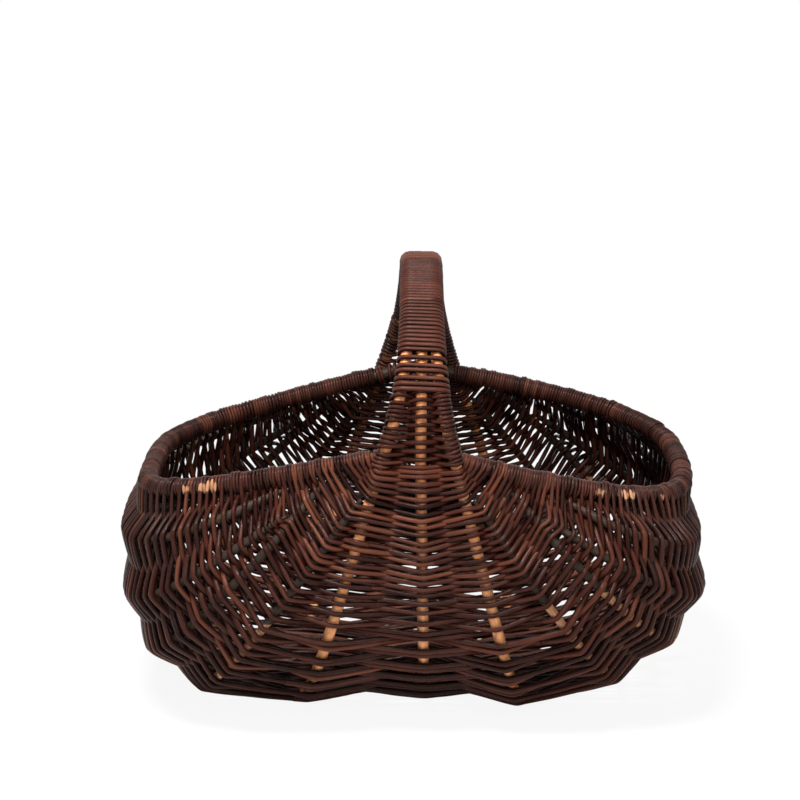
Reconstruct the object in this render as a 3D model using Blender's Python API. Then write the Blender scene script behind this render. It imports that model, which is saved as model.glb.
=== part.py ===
import math

import bmesh
import bpy
import numpy as np

# Oval wicker basket with a fixed arched handle. Three long rods run over the handle and under
# the body, pointed ribs fan out on both sides, and willow is woven across them from rim to rim.
# Metres, +Z up, X along the basket, -Y to the front.

# Rim: an oval hoop that dips like a roof from the handle to both ends. Its left end is squarer.
# Twist: how much it would be raised at the back right corner of its box.
RIM_HALF_LENGTH = 0.203
RIM_HALF_WIDTH = 0.147
RIM_FULLNESS = {"right": 3.0, "left": 4.2}
RIM_HEIGHT = 0.2114
RIM_SLOPE = 0.224
RIM_CREST = 0.0075
RIM_TWIST = 0.0075
RIM_ROD_RADIUS = 0.0050
RIM_WRAP_THICKNESS = 0.0024

# Long rods of the handle, which are also the middle ribs of the body
LONG_ROD_RADIUS = 0.0041
LONG_ROD_RIM_SEAT = 0.0009
HANDLE_HEIGHT = 0.323
HANDLE_TOP_SHIFT = 0.0035
HANDLE_ROD_SPACING = 0.0086
HANDLE_FLARE_POWER = 2.1
BODY_SWELL = 0.023
STAND_DEPTH = 0.0009

# Side ribs
RIB_RADIUS = 0.0033
RIB_TIP_RADIUS = 0.0014
RIB_TIP_GAP = 0.0007
RIB_TAPER = 0.030
RIB_FULLNESS = 2.9
SHOULDER = 0.35

# Weave
WEAVER_THICKNESS = 0.0037
WEAVE_HALF_THICKNESS = 0.0022
SMALLEST_WEAVE_WIDTH = 0.003
WEAVE_GAP = 0.0009
LEAST_SLANT = 0.3
WEAVE_RELIEF = {"side": 0.0040, "middle": 0.0060}
FULL_RELIEF_WIDTH = 0.024
FLAT_BELOW = 0.016
RELIEF_RISE = 0.022
RELIEF_RIM_SHARE = 0.15
BOUND_FROM_SHARE = 0.44
BINDING_TURNS = 24
BINDING_GAP = 0.0008

# Clearance between neighbouring pieces, and how finely curves are stepped
GAP = 0.0003
STEPS = 40
LEG_STEPS = 3
TOP_STEPS = 28
POINTS_PER_TURN = 12
DENSE = 600

# x at the rim in front, at the back and under the body, and how much wider the back runs, all
# as shares of the rim's half length, then how full the rod's round under the body is
LONG_RODS = {
    "left": (-0.123, -0.128, -0.424, -0.020, 3.1),
    "centre": (0.010, 0.017, 0.025, 0.000, 2.8),
    "right": (0.128, 0.148, 0.379, 0.044, 3.45),
}

# Side ribs from the base up: lowest x and how much wider the back runs as shares of the rim's
# half length, lowest height as a share of the rim's, half width as a share of the body's
RIBS = {
    "right_rib_1": (0.754, 0.039, 0.105, 1.012),
    "right_rib_2": (0.951, 0.025, 0.252, 1.000),
    "right_rib_3": (1.049, 0.000, 0.428, 0.959),
    "right_rib_4": (1.030, 0.000, 0.618, 0.918),
    "left_rib_1": (-0.818, 0.000, 0.076, 1.012),
    "left_rib_2": (-0.995, 0.000, 0.214, 1.000),
    "left_rib_3": (-1.069, 0.000, 0.418, 0.959),
    "left_rib_4": (-1.074, 0.000, 0.632, 0.918),
}

# Where each rib's tips lie: how far along its parent, as a share of the rim's half length, and
# on which side of it (end, out, up)
ROOTS = {
    1: (0.167, (1.0, 0.0, 0.0)),
    2: (0.202, (0.0, 0.45, -1.0)),
    3: (0.433, (0.7, 0.0, 0.7)),
    4: (0.384, (0.0, 0.35, -1.0)),
}

BODY_HALF_WIDTH = RIM_HALF_WIDTH + BODY_SWELL
ROD_Y = RIM_HALF_WIDTH + RIM_ROD_RADIUS + LONG_ROD_RADIUS + LONG_ROD_RIM_SEAT
ROD_LOW_Z = LONG_ROD_RADIUS + WEAVER_THICKNESS + GAP
RIM_WRAP_RADIUS = RIM_ROD_RADIUS + GAP + RIM_WRAP_THICKNESS


def willow(name, colour, roughness):
    material = bpy.data.materials.new(name)
    material.use_nodes = True
    shader = material.node_tree.nodes["Principled BSDF"]
    shader.inputs["Base Color"].default_value = (*colour, 1.0)
    shader.inputs["Roughness"].default_value = roughness
    shader.inputs["Metallic"].default_value = 0.0
    return material


def finish(name, data, material):
    data.materials.append(material)
    piece = bpy.data.objects.new(name, data)
    bpy.context.scene.collection.objects.link(piece)
    return piece


# A round rod: a bevelled curve with filled caps, thinner where its radii are smaller
def rod(name, path, radius, radii, closed, resolution, material):
    curve = bpy.data.curves.new(name, "CURVE")
    curve.dimensions = "3D"
    curve.bevel_depth = radius
    curve.bevel_resolution = resolution
    curve.use_fill_caps = not closed
    spline = curve.splines.new("POLY")
    spline.points.add(len(path) - 1)
    for point, place, width in zip(spline.points, path, radii):
        point.co = (*place, 1.0)
        point.radius = width / radius
    spline.use_cyclic_u = closed
    return finish(name, curve, material)


def mesh_piece(name, vertices, faces, material):
    mesh = bpy.data.meshes.new(name)
    mesh.from_pydata([tuple(v) for v in vertices], [], faces)
    work = bmesh.new()
    work.from_mesh(mesh)
    bmesh.ops.recalc_face_normals(work, faces=work.faces)
    work.to_mesh(mesh)
    work.free()
    return finish(name, mesh, material)


# Rings of vertices, one after another, joined into a closed tube with capped ends
def skin(name, rings, material):
    count = len(rings[0])
    faces = []
    for ring in range(len(rings) - 1):
        for side in range(count):
            here = ring * count
            after = here + count
            beside = (side + 1) % count
            faces.append((here + side, here + beside, after + beside, after + side))
    last = (len(rings) - 1) * count
    faces.append(tuple(reversed(range(count))))
    faces.append(tuple(range(last, last + count)))
    return mesh_piece(name, [v for ring in rings for v in ring], faces, material)


def lengths(points):
    steps = np.linalg.norm(np.diff(points, axis=0), axis=1)
    return np.concatenate([[0.0], np.cumsum(steps)])


def spread_along(line, values, fractions):
    travelled = lengths(line)
    wanted = np.asarray(fractions) * travelled[-1]
    return np.stack([np.interp(wanted, travelled, column) for column in values.T], axis=1)


# Rim height: a ridge rounded over the crest, then a straight fall to the end, and the twist
def rim_height(x, y):
    fall = RIM_SLOPE * (np.hypot(x, RIM_CREST) - RIM_CREST)
    return RIM_HEIGHT - fall + RIM_TWIST * (x / RIM_HALF_LENGTH) * (y / RIM_HALF_WIDTH)


# Half of the rim from the front crossing round one end to the back crossing
def rim_line(side, fullness, x_front, x_back):
    power = 2 / fullness
    first = math.acos((abs(x_front) / RIM_HALF_LENGTH) ** (1 / power))
    last = math.acos((abs(x_back) / RIM_HALF_LENGTH) ** (1 / power))
    angle = np.linspace(-first, last, DENSE)
    x = side * RIM_HALF_LENGTH * np.cos(angle) ** power
    y = RIM_HALF_WIDTH * np.sign(angle) * np.abs(np.sin(angle)) ** power
    return np.stack([x, y, rim_height(x, y)], axis=1)


# A rod bent like a U in a leaning plane. It swells out over the shoulder, then rounds under
# the body as a quarter of a superellipse. The back half meets the front one at the lowest point.
def bent_rod(roots, low_x, low_z, half_width, fullness, wider_back):
    halves = []
    for facing, root, wider in ((-1, roots[0], 0.0), (1, roots[1], wider_back)):
        reach = math.hypot(low_x - root[0], low_z - root[2])
        shoulder = SHOULDER * reach
        fall = np.linspace(0, shoulder, DENSE // 4, endpoint=False)
        swell = (1 - np.cos(math.pi * fall / shoulder)) / 2
        turn = np.linspace(0, math.pi / 2, DENSE // 2)
        rounding = shoulder + (reach - shoulder) * np.sin(turn) ** (2 / fullness)
        down = np.concatenate([fall, rounding]) / reach
        root_width = abs(root[1])
        out = np.concatenate([root_width + (half_width - root_width) * swell,
                              half_width * np.cos(turn) ** (2 / fullness)])
        x = root[0] + (low_x - root[0]) * down + wider * np.sin(math.pi * down)
        z = root[2] + (low_z - root[2]) * down
        halves.append(np.stack([x, facing * out, z], axis=1))
    return np.concatenate([halves[0], halves[1][::-1][1:]])


# The two places where a rib's tips lie: beside its parent, at the step nearest to its reach
def rib_roots(parent, parent_clear, reach, sideways):
    step = max(1, round(reach / lengths(parent)[-1] * STEPS))
    ahead = frames(parent)
    roots = []
    for facing, pick in ((-1, step), (1, STEPS - step)):
        aside = np.array([sideways[0], facing * sideways[1], sideways[2]])
        aside -= ahead[pick] * np.dot(aside, ahead[pick])
        aside /= np.linalg.norm(aside)
        roots.append(parent[pick] + aside * (parent_clear[pick] + RIB_TIP_RADIUS + RIB_TIP_GAP))
    return roots, step


def rib_radii(own):
    travelled = lengths(own)
    from_end = np.minimum(travelled, travelled[-1] - travelled)
    grown = np.clip(from_end / RIB_TAPER, 0, 1)
    return RIB_TIP_RADIUS + (RIB_RADIUS - RIB_TIP_RADIUS) * np.sin(grown * math.pi / 2)


# x of a rod at the rim, from the front crossing at angle 0 to the back one at pi
def crossing_x(name, angle):
    front, back = LONG_RODS[name][:2]
    return RIM_HALF_LENGTH * (front + (back - front) * (1 - np.cos(angle)) / 2)


# Handle arch: half an ellipse from the front crossing to the back one, angle 0 to pi
def arch_point(name, angle):
    rise = np.sin(angle)
    centre_x = crossing_x("centre", angle)
    middle = centre_x * (1 - rise) + HANDLE_TOP_SHIFT * rise
    place = {"left": -1, "centre": 0, "right": 1}[name]
    at_rim = np.abs(crossing_x(name, angle) - centre_x)
    offset = HANDLE_ROD_SPACING + (at_rim - HANDLE_ROD_SPACING) * (1 - rise) ** HANDLE_FLARE_POWER
    x = middle + place * offset
    y = -ROD_Y * np.cos(angle)
    z = RIM_HEIGHT + (HANDLE_HEIGHT - RIM_HEIGHT) * rise
    return np.stack([x, y, z], axis=-1)


def frames(points):
    ahead = np.gradient(points, axis=0)
    return ahead / np.linalg.norm(ahead, axis=1)[:, None]


# How squarely the weave meets a line: 1 across it, less where it leans along it
def slant(unit, points):
    ahead = np.diff(points, axis=0)
    ahead /= np.linalg.norm(ahead, axis=1)[:, None]
    lean_before = np.abs(np.sum(unit * np.concatenate([ahead[:1], ahead]), axis=1))
    lean_after = np.abs(np.sum(unit * np.concatenate([ahead, ahead[-1:]]), axis=1))
    lean = np.maximum(lean_before, lean_after)
    return np.sqrt(np.maximum(1 - lean ** 2, LEAST_SLANT ** 2))


# One closed panel of weave between two lines, stepped with them and clear of what lies on them.
# Its bands swing over one line and under the other by turns: relief = how far a band's edges
# stand out or in. Under the body the bands lie flat, and the middle panels fill out to the floor.
# Where a panel passes outside the rim rod, at rim_z, they lie flat too. A band is folded along
# the same diagonal on its outer and its inner face, so its wall keeps one thickness.
def weave_panel(name, left, right, relief, floor_depth, rim_z, material):
    left_points, left_clear = left
    right_points, right_clear = right
    across = right_points - left_points
    distance = np.linalg.norm(across, axis=1)
    unit = across / np.maximum(distance, GAP)[:, None]
    left_offset = (left_clear + WEAVE_GAP) / slant(unit, left_points)
    right_offset = (right_clear + WEAVE_GAP) / slant(unit, right_points)
    width = distance - left_offset - right_offset
    rows = np.flatnonzero(width > SMALLEST_WEAVE_WIDTH)
    rows = np.arange(rows[0], rows[-1] + 1)
    start = left_points + unit * left_offset[:, None]
    end = right_points - unit * right_offset[:, None]
    middle = (start + end) / 2
    normal = np.cross(unit, frames(middle))
    normal /= np.maximum(np.linalg.norm(normal, axis=1), GAP)[:, None]
    outward = middle - np.array([0.0, 0.0, RIM_HEIGHT / 2])
    normal *= np.sign(np.sum(normal * outward, axis=1))[:, None]
    vertices = []
    for row in rows:
        raised = min(max((middle[row][2] - FLAT_BELOW) / RELIEF_RISE, 0.0), 1.0)
        from_rim = min(abs(middle[row][2] - rim_z) / (RELIEF_RIM_SHARE * RIM_HEIGHT), 1.0)
        swing = relief * raised * from_rim * min(width[row] / FULL_RELIEF_WIDTH, 1.0)
        if row % 2:
            swing = -swing
        outer = WEAVE_HALF_THICKNESS + (1 - raised) * (floor_depth - WEAVE_HALF_THICKNESS)
        inner = WEAVE_HALF_THICKNESS + (1 - raised) * (LONG_ROD_RADIUS - WEAVE_HALF_THICKNESS)
        ring = [start[row] + normal[row] * (swing + outer), end[row] + normal[row] * (outer - swing),
                end[row] - normal[row] * (inner + swing), start[row] + normal[row] * (swing - inner)]
        vertices += [(x, y, max(z, 0.0)) for x, y, z in ring]
    faces = [(3, 2, 1, 0)]
    for here in range(0, len(vertices) - 4, 4):
        faces.append((here, here + 1, here + 5))
        faces.append((here, here + 5, here + 4))
        faces.append((here + 3, here + 7, here + 6))
        faces.append((here + 3, here + 6, here + 2))
        faces.append((here + 1, here + 2, here + 6, here + 5))
        faces.append((here + 3, here, here + 4, here + 7))
    last = len(vertices) - 4
    faces.append((last, last + 1, last + 2, last + 3))
    return mesh_piece(name, vertices, faces, material)


# A wrap round the rim: a pipe with the rim rod in its bore
def rim_wrap(name, line, material):
    ahead = frames(line)
    side = np.cross(ahead, (0.0, 0.0, 1.0))
    side /= np.linalg.norm(side, axis=1)[:, None]
    up = np.cross(side, ahead)
    turn = np.arange(8) * math.tau / 8 + math.tau / 16
    bore = (RIM_ROD_RADIUS + GAP) / math.cos(math.tau / 16)
    vertices = []
    faces = []
    for place, sideways, upward in zip(line, side, up):
        for radius in (RIM_WRAP_RADIUS, bore):
            for angle in turn:
                out = math.cos(angle) * sideways + math.sin(angle) * upward
                vertices.append(place + radius * out)
    for ring in range(len(line)):
        for k in range(8):
            j = (k + 1) % 8
            here = ring * 16
            after = here + 16
            if ring == 0:
                faces.append((here + k, here + 8 + k, here + 8 + j, here + j))
            if ring == len(line) - 1:
                faces.append((here + j, here + 8 + j, here + 8 + k, here + k))
            else:
                faces.append((here + j, after + j, after + k, here + k))
                faces.append((here + 8 + k, after + 8 + k, after + 8 + j, here + 8 + j))
    return mesh_piece(name, vertices, faces, material)


# The handle's binding: one winding round the three rods, each turn three rods wide.
# along = distance along the handle, turned = angle round it, lift = height over the rods.
def binding(name, material):
    start_angle = math.asin(BOUND_FROM_SHARE)
    angles = np.linspace(start_angle, math.pi - start_angle, DENSE)
    centre = arch_point("centre", angles)
    travelled = lengths(centre)
    pitch = travelled[-1] / (BINDING_TURNS + 1)
    half = (pitch - BINDING_GAP) / 2
    profile = [(-0.80 * half, 0.0), (-1.0 * half, 0.45), (-0.66 * half, 1.0), (-0.33 * half, 0.6),
               (0.0, 1.0), (0.33 * half, 0.6), (0.66 * half, 1.0), (1.0 * half, 0.45),
               (0.80 * half, 0.0)]
    count = BINDING_TURNS * POINTS_PER_TURN + 1
    turned = np.arange(count) * math.tau / POINTS_PER_TURN
    along = pitch * (0.5 + turned / math.tau)
    base = (LONG_ROD_RADIUS + GAP) / math.cos(math.pi / 8)
    rings = []
    for position, angle in zip(along, turned):
        ring = []
        for shift, lift in profile:
            bow = np.interp(position + shift, travelled, angles)
            middle = arch_point("centre", bow)
            tangent = np.array([0.0, ROD_Y * math.sin(bow),
                                (HANDLE_HEIGHT - RIM_HEIGHT) * math.cos(bow)])
            tangent /= np.linalg.norm(tangent)
            over = np.array([0.0, -tangent[2], tangent[1]])
            radius = base + lift * (WEAVER_THICKNESS - GAP)
            bend, outer_rod = corner_of(angle)
            across = arch_point(outer_rod, bow)[0] + radius * math.cos(bend)
            height = over * radius * math.sin(bend)
            ring.append(np.array([across, middle[1], middle[2]]) + height)
        rings.append(ring)
    rings = np.array(rings)
    nearest = min(np.linalg.norm(rings[k][:, None] - rings[k + POINTS_PER_TURN][None], axis=2).min()
                  for k in range(count - POINTS_PER_TURN))
    print("least gap of the binding to itself, mm:", round(nearest * 1000, 2))
    return skin(name, rings, material)


# Where a turn stands on the flat oval round the rods: its bend angle and the rod that it bends round
def corner_of(angle):
    steps = round(angle / math.tau * POINTS_PER_TURN) % POINTS_PER_TURN
    if steps < 5:
        return (steps - 2) * math.pi / 4, "right"
    if steps == 5:
        return math.pi / 2, "centre"
    if steps < 11:
        return (steps - 4) * math.pi / 4, "left"
    return -math.pi / 2, "centre"


def centre_on_origin(pieces):
    bpy.context.view_layer.update()
    graph = bpy.context.evaluated_depsgraph_get()
    corners = []
    for piece in pieces:
        mesh = piece.evaluated_get(graph).to_mesh()
        places = np.empty(len(mesh.vertices) * 3)
        mesh.vertices.foreach_get("co", places)
        corners += [places.reshape(-1, 3).min(axis=0), places.reshape(-1, 3).max(axis=0)]
    middle = (np.min(corners, axis=0) + np.max(corners, axis=0)) / 2
    for piece in pieces:
        piece.location = (-middle[0], -middle[1], 0.0)
    print("moved to the middle by, mm:", np.round(middle[:2] * 1000, 2))


for leftover in list(bpy.data.objects):
    bpy.data.objects.remove(leftover, do_unlink=True)

buff_willow = willow("buff_willow", (0.50, 0.24, 0.10), 0.45)
brown_willow = willow("brown_willow", (0.10, 0.055, 0.035), 0.5)
rib_willow = willow("rib_willow", (0.055, 0.040, 0.032), 0.55)
weave_willow = willow("weave_willow", (0.115, 0.035, 0.020), 0.4)
binding_willow = willow("binding_willow", (0.150, 0.040, 0.022), 0.35)

shared = np.linspace(0, 1, STEPS + 1)
pieces = []

# Long rods: closed hoops over the handle, down the front, under the body and up the back.
# A line holds the steps from front to back that neighbours share, and what is clear round them.
start_angle = math.asin(BOUND_FROM_SHARE - BINDING_GAP / (HANDLE_HEIGHT - RIM_HEIGHT))
front_leg = np.linspace(start_angle, 0, LEG_STEPS, endpoint=False)
top = np.linspace(math.pi - start_angle, start_angle, TOP_STEPS + 1)
lines = {}
rod_lines = {}
for name, (front_x, back_x, low_x, wider_back, fullness) in LONG_RODS.items():
    roots = [(crossing_x(name, 0.0), -ROD_Y, RIM_HEIGHT), (crossing_x(name, math.pi), ROD_Y, RIM_HEIGHT)]
    body = bent_rod(roots, low_x * RIM_HALF_LENGTH, ROD_LOW_Z, BODY_HALF_WIDTH, fullness,
                    wider_back * RIM_HALF_LENGTH)
    stepped = spread_along(body, body, shared)
    lines[name] = (stepped, np.full(len(stepped), LONG_ROD_RADIUS))
    legs = [arch_point(name, front_leg), stepped, arch_point(name, math.pi - front_leg[::-1])]
    whole = np.concatenate(legs)
    rod_lines[name] = (whole, np.full(len(whole), LONG_ROD_RADIUS))
    loop = np.concatenate([whole, arch_point(name, top)[1:-1]])
    pieces.append(rod("handle_rod_" + name, loop, LONG_ROD_RADIUS,
                      np.full(len(loop), LONG_ROD_RADIUS), True, 2, buff_willow))

# Rim: one hoop, and the wraps of both ends round it
for side, name in ((1, "right"), (-1, "left")):
    half = rim_line(side, RIM_FULLNESS[name], crossing_x(name, 0.0), crossing_x(name, math.pi))
    stepped = spread_along(half, half, shared)
    lines["rim_" + name] = (stepped, np.full(len(stepped), RIM_WRAP_RADIUS))
    pieces.append(rim_wrap("rim_wrap_" + name, stepped[1:-1], weave_willow))
front_middle = np.array([[0.0, -RIM_HALF_WIDTH, rim_height(0.0, 0.0)]])
rim_loop = np.concatenate([lines["rim_right"][0], front_middle * (1, -1, 1),
                           lines["rim_left"][0][::-1], front_middle])
pieces.append(rod("rim_hoop", rim_loop, RIM_ROD_RADIUS, np.full(len(rim_loop), RIM_ROD_RADIUS),
                  True, 2, brown_willow))

# Side ribs. Before its root and after its tail, a rib's line is that of its parent.
for side, name in ((1, "right"), (-1, "left")):
    parents = {1: name, 2: "rim_" + name, 3: f"{name}_rib_2", 4: "rim_" + name}
    for number, parent in parents.items():
        rib = f"{name}_rib_{number}"
        low_x, wider_back, low_z, half_width = RIBS[rib]
        reach, (end, out, up) = ROOTS[number]
        points, clear = lines[parent]
        roots, step = rib_roots(points, clear, reach * RIM_HALF_LENGTH, (side * end, out, up))
        own = bent_rod(roots, low_x * RIM_HALF_LENGTH, low_z * RIM_HEIGHT, half_width * BODY_HALF_WIDTH,
                       RIB_FULLNESS, wider_back * RIM_HALF_LENGTH)
        own_shares = np.linspace(0, 1, STEPS - 2 * step + 1)
        path = spread_along(own, own, own_shares)
        radii = spread_along(own, rib_radii(own)[:, None], own_shares)[:, 0]
        pieces.append(rod(rib, path, RIB_RADIUS, radii, False, 1, rib_willow))
        lines[rib] = (np.concatenate([points[:step], path, points[-step:]]),
                      np.concatenate([clear[:step], radii, clear[-step:]]))

# Weave: two panels in the middle, which climb the handle's legs, and five on each side
for name in ("left", "right"):
    pieces.append(weave_panel("middle_weave_" + name, rod_lines["centre"], rod_lines[name],
                              WEAVE_RELIEF["middle"], LONG_ROD_RADIUS + WEAVER_THICKNESS + GAP
                              + STAND_DEPTH, RIM_HEIGHT, weave_willow))
    order = [name] + [f"{name}_rib_{number}" for number in (1, 2, 3, 4)] + ["rim_" + name]
    for number in range(5):
        pieces.append(weave_panel(f"{name}_weave_{number + 1}", lines[order[number]],
                                  lines[order[number + 1]], WEAVE_RELIEF["side"],
                                  WEAVE_HALF_THICKNESS, math.inf, weave_willow))

pieces.append(binding("handle_binding", binding_willow))
centre_on_origin(pieces)
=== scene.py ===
import math

import bpy
import numpy as np
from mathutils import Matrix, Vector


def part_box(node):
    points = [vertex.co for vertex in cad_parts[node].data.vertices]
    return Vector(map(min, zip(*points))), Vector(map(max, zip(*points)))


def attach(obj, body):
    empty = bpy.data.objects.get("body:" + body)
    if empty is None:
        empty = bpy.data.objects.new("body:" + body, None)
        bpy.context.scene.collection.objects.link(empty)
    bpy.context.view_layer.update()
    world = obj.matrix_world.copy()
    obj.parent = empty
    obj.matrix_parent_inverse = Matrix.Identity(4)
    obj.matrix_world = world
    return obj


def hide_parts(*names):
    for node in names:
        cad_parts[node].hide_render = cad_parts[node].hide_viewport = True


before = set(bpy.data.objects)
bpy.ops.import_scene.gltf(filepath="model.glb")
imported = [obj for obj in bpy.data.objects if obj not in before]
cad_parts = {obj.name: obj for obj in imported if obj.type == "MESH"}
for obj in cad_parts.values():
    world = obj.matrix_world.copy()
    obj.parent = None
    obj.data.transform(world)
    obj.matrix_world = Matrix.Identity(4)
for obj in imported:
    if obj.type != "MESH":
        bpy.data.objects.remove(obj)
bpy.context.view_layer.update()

print("solids loaded:", len(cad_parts))

# The solids stand centred on the origin, so every line below is moved as far as the rim hoop was
rimLow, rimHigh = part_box("rim_hoop")
shift = np.array([(rimLow[0] + rimHigh[0]) / 2, (rimLow[1] + rimHigh[1]) / 2, 0.0])


def unit(v):  # v at length 1
    return v / np.maximum(np.linalg.norm(v, axis=-1, keepdims=True), 1e-12)


def travelled(points):  # distance along a path, starting at 0
    steps = np.linalg.norm(np.diff(points, axis=0), axis=1)
    return np.concatenate([[0.0], np.cumsum(steps)])


def evenly(points, count):  # the same path, at evenly spaced points
    far = travelled(points)
    wanted = np.linspace(0, far[-1], count)
    return np.stack([np.interp(wanted, far, column) for column in points.T], axis=1)


def at(line, share):  # the place at a share of a line, whose points stand evenly
    own = np.linspace(0, 1, len(line))
    return np.stack([np.interp(share, own, column) for column in line.T], axis=-1)


def directions(points):  # which way a path runs at each of its points
    return unit(np.gradient(points, axis=0))


def dot(a, b):  # the sum of a * b over x, y and z, kept as a column
    return np.sum(a * b, axis=-1, keepdims=True)


rodEnd = 0.3    # how far the end of an open rod stands out, in radii
barkRun = 17.0  # metres of bark from which each rod takes its own stretch of grain


# A rod carried along a path. Ring point = path + wide * cos(a) * e1 + deep * sin(a) * e2, where
# e1 is the guide squared to the path and e2 stands across both. Open rods end in a low point.
def rodSurface(path, guide, deep, sides, closed=False, wide=None):
    if closed:
        ahead = unit(np.roll(path, -1, axis=0) - np.roll(path, 1, axis=0))
    else:
        ahead = directions(path)
    e1 = unit(guide - dot(guide, ahead) * ahead)
    e2 = np.cross(ahead, e1)
    angle = np.arange(sides) * math.tau / sides
    radius = np.broadcast_to(deep, (len(path),))[:, None, None]
    width = radius if wide is None else wide[:, None, None]
    rings = (path[:, None] + width * np.cos(angle)[None, :, None] * e1[:, None]
             + radius * np.sin(angle)[None, :, None] * e2[:, None])
    count = len(path)
    here = np.arange(count if closed else count - 1)[:, None] * sides
    after = np.roll(np.arange(count) * sides, -1)[:len(here), None]
    side = np.arange(sides)[None, :]
    beside = (side + 1) % sides
    quads = np.stack([here + side, here + beside, after + beside, after + side], axis=-1)
    quads = quads.reshape(-1, 4)
    far = travelled(path)
    grain = np.stack([np.broadcast_to(far[:, None], (count, sides)),
                      np.broadcast_to(np.cos(angle), (count, sides)),
                      np.broadcast_to(np.sin(angle), (count, sides))], axis=-1).reshape(-1, 3)
    points = rings.reshape(-1, 3)
    fans = np.empty((0, 3), int)
    if not closed:
        tips = np.stack([path[0] - ahead[0] * radius[0, 0] * rodEnd,
                         path[-1] + ahead[-1] * radius[-1, 0] * rodEnd])
        first = len(points)
        last = (count - 1) * sides
        k = np.arange(sides)
        j = (k + 1) % sides
        fans = np.concatenate([np.stack([np.full(sides, first), j, k], axis=1),
                               np.stack([np.full(sides, first + 1), last + k, last + j], axis=1)])
        points = np.concatenate([points, tips])
        grain = np.concatenate([grain, [[0, 0, 0], [far[-1], 0, 0]]])
    return {"points": points, "quads": quads, "fans": fans, "grain": grain}


# Many surfaces put together as one mesh, with the grain and tone of each rod kept on its points
def meshOf(name, surfaces, tones, material):
    shiftBy = np.cumsum([0] + [len(s["points"]) for s in surfaces])
    points = np.concatenate([s["points"] for s in surfaces])
    quads = np.concatenate([s["quads"] + n for s, n in zip(surfaces, shiftBy)])
    fans = np.concatenate([s["fans"] + n for s, n in zip(surfaces, shiftBy)])
    tone = np.concatenate([np.broadcast_to(np.asarray(t, float), (len(s["points"]), 3))
                           for s, t in zip(surfaces, tones)])
    grain = np.concatenate([s["grain"] for s in surfaces])
    grain[:, 0] += tone[:, 0] * barkRun
    mesh = bpy.data.meshes.new(name)
    corners = np.concatenate([quads.ravel(), fans.ravel()]).astype(np.int32)
    sizes = np.concatenate([np.full(len(quads), 4), np.full(len(fans), 3)])
    starts = np.concatenate([[0], np.cumsum(sizes)[:-1]]).astype(np.int32)
    mesh.vertices.add(len(points))
    mesh.vertices.foreach_set("co", points.astype(np.float32).ravel())
    mesh.loops.add(len(corners))
    mesh.loops.foreach_set("vertex_index", corners)
    mesh.polygons.add(len(sizes))
    mesh.polygons.foreach_set("loop_start", starts)
    mesh.update(calc_edges=True)
    mesh.polygons.foreach_set("use_smooth", np.ones(len(sizes), bool))
    for label, values in (("grain", grain), ("tone", tone)):
        layer = mesh.attributes.new(label, "FLOAT_VECTOR", "POINT")
        layer.data.foreach_set("vector", values.astype(np.float32).ravel())
    mesh.validate()
    mesh.materials.append(material)
    piece = bpy.data.objects.new(name, mesh)
    bpy.context.scene.collection.objects.link(piece)
    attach(piece, "root")
    print("made", name, "with", len(quads) * 2 + len(fans), "triangles")
    return piece


def nodesOf(name):  # a new material with its tree and its shader
    material = bpy.data.materials.new(name)
    material.use_nodes = True
    tree = material.node_tree
    return material, tree, tree.nodes["Principled BSDF"]


def attribute(tree, name):  # a vector kept on the mesh's points
    node = tree.nodes.new("ShaderNodeAttribute")
    node.attribute_type = "GEOMETRY"
    node.attribute_name = name
    return node.outputs["Vector"]


def partsOf(tree, vector):  # its x, y and z
    node = tree.nodes.new("ShaderNodeSeparateXYZ")
    tree.links.new(vector, node.inputs[0])
    return node.outputs


def mathNode(tree, operation, *inputs):  # the inputs are numbers or sockets
    node = tree.nodes.new("ShaderNodeMath")
    node.operation = operation
    for socket, value in zip(node.inputs, inputs):
        if isinstance(value, (int, float)):
            socket.default_value = value
        else:
            tree.links.new(value, socket)
    return node.outputs[0]


def ramp(tree, factor, stops):  # the stops are pairs of a place and a colour
    node = tree.nodes.new("ShaderNodeValToRGB")
    while len(node.color_ramp.elements) < len(stops):
        node.color_ramp.elements.new(1.0)
    for element, (place, colour) in zip(node.color_ramp.elements, stops):
        element.position = place
        element.color = (*colour, 1.0)
    tree.links.new(factor, node.inputs[0])
    return node.outputs[0]


def rising(tree, factor, low, high):  # 0 up to low, 1 from high on
    return ramp(tree, factor, [(low, (0, 0, 0)), (high, (1, 1, 1))])


# first * (1 - factor) + second * factor, or the named blend of the two
def mixColour(tree, factor, first, second, blend="MIX"):
    node = tree.nodes.new("ShaderNodeMix")
    node.data_type = "RGBA"
    node.blend_type = blend
    for socket, value in ((node.inputs[0], factor), (node.inputs[6], first), (node.inputs[7], second)):
        if isinstance(value, (int, float)):
            socket.default_value = value
        elif isinstance(value, tuple):
            socket.default_value = (*value, 1.0)
        else:
            tree.links.new(value, socket)
    return node.outputs[2]


# Noise over the grain of a rod, scaled along the rod and round it
def grainNoise(tree, grain, along, around, detail, roughness):
    mapping = tree.nodes.new("ShaderNodeMapping")
    mapping.inputs["Scale"].default_value = (along, around, around)
    tree.links.new(grain, mapping.inputs["Vector"])
    node = tree.nodes.new("ShaderNodeTexNoise")
    node.inputs["Scale"].default_value = 1.0
    node.inputs["Detail"].default_value = detail
    node.inputs["Roughness"].default_value = roughness
    tree.links.new(mapping.outputs["Vector"], node.inputs["Vector"])
    return node.outputs["Fac"]


def bumped(tree, shader, height, strength, distance):  # the shader's surface, raised by the height
    bump = tree.nodes.new("ShaderNodeBump")
    bump.inputs["Strength"].default_value = strength
    bump.inputs["Distance"].default_value = distance
    tree.links.new(height, bump.inputs["Height"])
    tree.links.new(bump.outputs["Normal"], shader.inputs["Normal"])


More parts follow.
